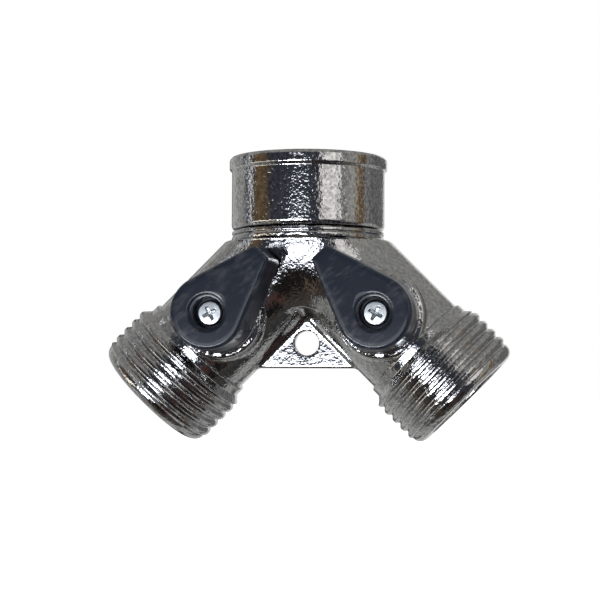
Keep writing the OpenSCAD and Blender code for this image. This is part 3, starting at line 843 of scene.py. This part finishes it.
def cross_recess(x, y):
    """Depth of a tapered cross recess at points of a screw's head."""
    half_w, taper, wall_w = 0.42, 0.09, 0.12
    arm_len, arm_end = 1.42, 0.3
    deepest, rise = 0.95, 0.25
    depth = np.zeros(len(x))
    for a, b in ((x, y), (y, x)):
        wall = np.clip((half_w - taper * np.abs(a) - np.abs(b)) / wall_w, 0, 1)
        reach = np.clip((arm_len - np.abs(a)) / arm_end, 0, 1)
        depth = np.maximum(depth, wall * reach * (deepest - rise * np.abs(a)))
    return depth


def add_screw(side):
    """Pan head with a tapered cross recess, and a plain shank."""
    spokes, rows = 144, 40
    crown, shoulder, shoulder_at = 0.07, 0.22, 0.86
    angle = 2 * math.pi * np.arange(spokes) / spokes
    rings = []
    for k in range(rows + 1):
        f = max(k / rows, 0.004)
        r = SCREW_HEAD_R * f
        falls = crown * f ** 2 + shoulder * max(f - shoulder_at, 0) ** 1.5 / (1 - shoulder_at) ** 1.5
        depth = cross_recess(r * np.cos(angle - CROSS_TURN), r * np.sin(angle - CROSS_TURN))
        rings.append(stem_ring(side, angle, r, RECESS_FLOOR + SCREW_HEAD_H * (1 - falls) - depth))
    for r, h in ((SCREW_HEAD_R, 0.8), (SCREW_HEAD_R, 0.12), (SCREW_HEAD_R - 0.1, 0.0),
                 (SCREW_SHANK_R, 0.0), (SCREW_SHANK_R, -SCREW_LENGTH + 0.6),
                 (SCREW_SHANK_R - 0.5, -SCREW_LENGTH), (0.01, -SCREW_LENGTH)):
        rings.append(stem_ring(side, angle, r, RECESS_FLOOR + h))
    verts, faces = loft(rings, close=False)
    # both ends close on a middle point
    top, point, last = len(verts), len(verts) + 1, (len(rings) - 1) * spokes
    verts = np.vstack([verts, rings[0].mean(0), rings[-1].mean(0)])
    faces += [(top, (i + 1) % spokes, i) for i in range(spokes)]
    faces += [(point, last + i, last + (i + 1) % spokes) for i in range(spokes)]
    mesh = outward_mesh(side + "_cross_screw", verts, faces, weld=True)
    dress(mesh, side + "_cross_screw", SCREW_ZINC, side + "_valve", [side + "_lever_screw"],
          smooth_angle=34)


# ------------------------------------------------------------------ inner parts

# CAD parts that are right in shape: their name, their piece's name, body, finish and record slot
VALVE_PARTS = (
    ("ball", "valve_ball", "valve", BALL_CHROME, "chrome_ball"),
    ("inner_seat", "seat_in", "casting", SEAT_PLASTIC, "white_seat_plastic"),
    ("outer_seat", "seat_out", "casting", SEAT_PLASTIC, "white_seat_plastic"),
    ("seat_bush", "bush", "casting", BRASS, "brass"),
    ("stem", "valve_stem", "valve", BRASS, "brass"),
    ("slip_washer", "stem_washer", "valve", SEAT_PLASTIC, "white_seat_plastic"),
    ("stem_o_ring", "stem_seal", "valve", BLACK_RUBBER, "black_rubber"),
)


def smooth_copy(name, new_name, material, body):
    """A CAD part welded, so that its round faces shine smoothly."""
    mesh = NODES[name].data.copy()
    bm = bmesh.new()
    bm.from_mesh(mesh)
    bmesh.ops.remove_doubles(bm, verts=bm.verts, dist=WELD)
    bm.to_mesh(mesh)
    bm.free()
    mesh.name = new_name
    if "custom_normal" in mesh.attributes:
        mesh.attributes.remove(mesh.attributes["custom_normal"])
    dress(mesh, new_name, material, body, [name], smooth_angle=30)


def add_inner_parts():
    smooth_copy("retaining_ring", "snap_ring", SPRING_STEEL, "casting")
    smooth_copy("inlet_washer", "hose_washer", BLACK_RUBBER, "casting")
    for side in ARMS:
        for part, piece, body, material, slot in VALVE_PARTS:
            rides = side + "_valve" if body == "valve" else body
            smooth_copy(f"{side}_{part}", f"{side}_{piece}", material, rides)


def paint_cad():
    """The CAD's own meshes wear the finishes of the pieces that stand for them."""
    finishes = {"body": CAST_CHROME, "swivel_nut": TURNED_CHROME, "retaining_ring": SPRING_STEEL,
                "inlet_washer": BLACK_RUBBER, "lever": LEVER_PLASTIC, "lever_screw": SCREW_ZINC}
    finishes.update({part: material for part, _, _, material, _ in VALVE_PARTS})
    for name in NODES:
        material = finishes.get(name) or finishes[name.split("_", 1)[1]]
        mesh = NODES[name].data
        if not mesh.materials:
            mesh.materials.append(material)
        for i in range(len(mesh.materials)):
            mesh.materials[i] = material


# ------------------------------------------------------------------ studio

FLOOR_DROP, FLOOR_HALF = 0.05, 8.0
FLOOR_COLOUR, FLOOR_GLOW = (0.8, 0.8, 0.8, 1), (0.55, 0.55, 0.55, 1)
TOP_LIGHT_POWER, TOP_LIGHT_SPREAD = 1.6, math.radians(35)
TOP_LIGHT_FROM = Vector((-0.1, 0.25, 1.0))


def add_floor():
    """A pale floor under the part that takes its shadow, and that isn't there from underneath."""
    z, h = CAD_BOX[0][2] - FLOOR_DROP, FLOOR_HALF
    mesh = bpy.data.meshes.new("floor")
    mesh.from_pydata([(-h, -h, z), (h, -h, z), (h, h, z), (-h, h, z)], [], [(0, 1, 2, 3)])
    floor = place("floor", mesh)
    material, tree, shader = new_material("pale_floor")
    link = tree.links.new
    shader.inputs["Base Color"].default_value = FLOOR_COLOUR
    shader.inputs["Roughness"].default_value = 0.9
    glow = node(tree, "ShaderNodeEmission", Color=FLOOR_GLOW)
    link(node(tree, "ShaderNodeLightPath").outputs["Is Camera Ray"], glow.inputs["Strength"])
    both = node(tree, "ShaderNodeAddShader")
    link(shader.outputs[0], both.inputs[0])
    link(glow.outputs[0], both.inputs[1])
    one_sided = node(tree, "ShaderNodeMixShader")
    link(node(tree, "ShaderNodeNewGeometry").outputs["Backfacing"], one_sided.inputs[0])
    link(both.outputs[0], one_sided.inputs[1])
    link(node(tree, "ShaderNodeBsdfTransparent").outputs[0], one_sided.inputs[2])
    link(one_sided.outputs[0], tree.nodes["Material Output"].inputs["Surface"])
    mesh.materials.append(material)
    floor.visible_glossy = False


# Panels of the studio that the plate mirrors. Each is: compass bearing and height of its middle,
# half its width and half its height, its soft edge, all in degrees, and its colour. Bearing 0 is
# where the levers face, +90 is +X. A later panel lies over an earlier one.
ROOM_COLOUR = (0.05, 0.055, 0.07)
PANELS = [
    (0, -90, 400, 58, 14, (0.070, 0.062, 0.055)),       # dark table below the front
    (180, 0, 78, 200, 6, (0.42, 0.42, 0.41)),           # grey wall behind
    (-180, 0, 78, 200, 6, (0.50, 0.50, 0.49)),
    (158, 0, 5, 200, 4, (0.06, 0.06, 0.07)),            # dark door frames and a window at the back
    (-160, 0, 5, 200, 4, (0.06, 0.06, 0.07)),
    (172, 6, 8, 26, 3, (0.85, 0.85, 0.83)),
    (-116, 0, 14, 200, 12, (0.38, 0.38, 0.37)),         # side walls
    (134, 30, 27, 42, 10, (0.18, 0.18, 0.18)),
    (0, 90, 400, 62, 16, (0.32, 0.315, 0.30)),          # ceiling, and its paler and darker parts
    (70, 42, 60, 16, 12, (0.33, 0.33, 0.32)),
    (-70, 38, 34, 14, 12, (0.24, 0.24, 0.245)),
    (-74, -40, 24, 16, 10, (0.30, 0.30, 0.285)),        # light and dark ends of the table
    (100, -50, 18, 12, 10, (0.05, 0.05, 0.05)),
    (-8, -45, 32, 13, 8, (0.016, 0.014, 0.013)),        # shadow under the table's edge
    (30, -47, 8, 8, 6, (0.10, 0.048, 0.038)),           # red-brown and beige chair legs in it
    (-28, -46, 7, 9, 6, (0.15, 0.112, 0.085)),
    (76, 10, 12, 34, 5, (0.40, 0.39, 0.36)),            # wall beside the tall window
    (42, 14, 16, 17, 8, (1.05, 1.02, 0.98)),            # tall window on the right
    (92, 4, 5, 30, 3, (0.24, 0.145, 0.055)),            # door frame on the right
    (-69, 4, 14, 24, 7, (0.16, 0.108, 0.060)),          # wooden shelf on the left
    (-82, 4, 2, 40, 2, (0.03, 0.03, 0.03)),
    (-88, 4, 3, 40, 2, (1.0, 1.02, 1.05)),              # bright edge of a door
    (-61, -9, 20, 5, 3, (2.2, 2.0, 1.7)),               # row of windows, low in front
    (-26, -12, 8, 9, 4, (2.4, 2.55, 2.75)),
    (-5, -11.7, 12, 12.9, 3, (3.0, 3.15, 3.4)),
    (-16, -14, 15, 4, 2, (20.0, 21.0, 22.0)),           # the brightest part of them
    (28, -33, 9, 8, 8, (0.085, 0.045, 0.040)),          # brown chair on the right
    (52, -42, 12, 13, 8, (0.012, 0.012, 0.012)),
]


def add_world():
    """The room of panels for the plate to mirror, and plain white for the camera."""
    world = bpy.data.worlds.new("studio")
    bpy.context.scene.world = world
    world.use_nodes = True
    tree = world.node_tree
    tree.nodes.clear()
    link = tree.links.new
    split = node(tree, "ShaderNodeSeparateXYZ")
    link(node(tree, "ShaderNodeTexCoord").outputs["Generated"], split.inputs[0])
    x, y, z = split.outputs
    bearing = calc(tree, "ARCTAN2", x, calc(tree, "MULTIPLY", y, -1.0))
    bearing = calc(tree, "MULTIPLY", bearing, math.degrees(1))
    height = calc(tree, "MULTIPLY", calc(tree, "ARCSINE", z), math.degrees(1))

    def inside(angle, middle, half, soft):
        edge = node(tree, "ShaderNodeMapRange", interpolation_type="SMOOTHSTEP",
                    From_Min=half + soft / 2, From_Max=half - soft / 2)
        away = calc(tree, "ABSOLUTE", calc(tree, "SUBTRACT", angle, float(middle)))
        link(away, edge.inputs["Value"])
        return edge.outputs[0]

    colour = None
    for middle, up, half_w, half_h, soft, shade in PANELS:
        mix = node(tree, "ShaderNodeMix", data_type="RGBA")
        link(calc(tree, "MULTIPLY", inside(bearing, middle, half_w, soft),
                  inside(height, up, half_h, soft)), mix.inputs["Factor"])
        if colour is None:
            mix.inputs[MIX_A].default_value = (*ROOM_COLOUR, 1)
        else:
            link(colour, mix.inputs[MIX_A])
        mix.inputs[MIX_B].default_value = (*shade, 1)
        colour = mix.outputs[MIX_RESULT]
    room = node(tree, "ShaderNodeBackground")
    link(colour, room.inputs["Color"])
    white = node(tree, "ShaderNodeBackground", Color=(1, 1, 1, 1))
    seen = node(tree, "ShaderNodeMixShader")
    link(node(tree, "ShaderNodeLightPath").outputs["Is Camera Ray"], seen.inputs[0])
    link(room.outputs[0], seen.inputs[1])
    link(white.outputs[0], seen.inputs[2])
    link(seen.outputs[0], node(tree, "ShaderNodeOutputWorld").inputs["Surface"])


def add_top_light():
    """A broad soft light from above that the plate doesn't mirror."""
    data = bpy.data.lights.new("top_light", "SUN")
    data.energy = TOP_LIGHT_POWER
    data.angle = TOP_LIGHT_SPREAD
    light = place("top_light", data)
    light.rotation_euler = TOP_LIGHT_FROM.to_track_quat("Z", "Y").to_euler()
    light.visible_glossy = False


# ------------------------------------------------------------------ the splitter

bpy.context.scene.view_settings.view_transform = "Standard"
add_casting()
for side in ARMS:
    add_outlet(side)
add_neck()
add_nut()
for side in ARMS:
    add_lever(side)
    add_screw(side)
add_inner_parts()
paint_cad()
add_floor()
add_world()
add_top_light()
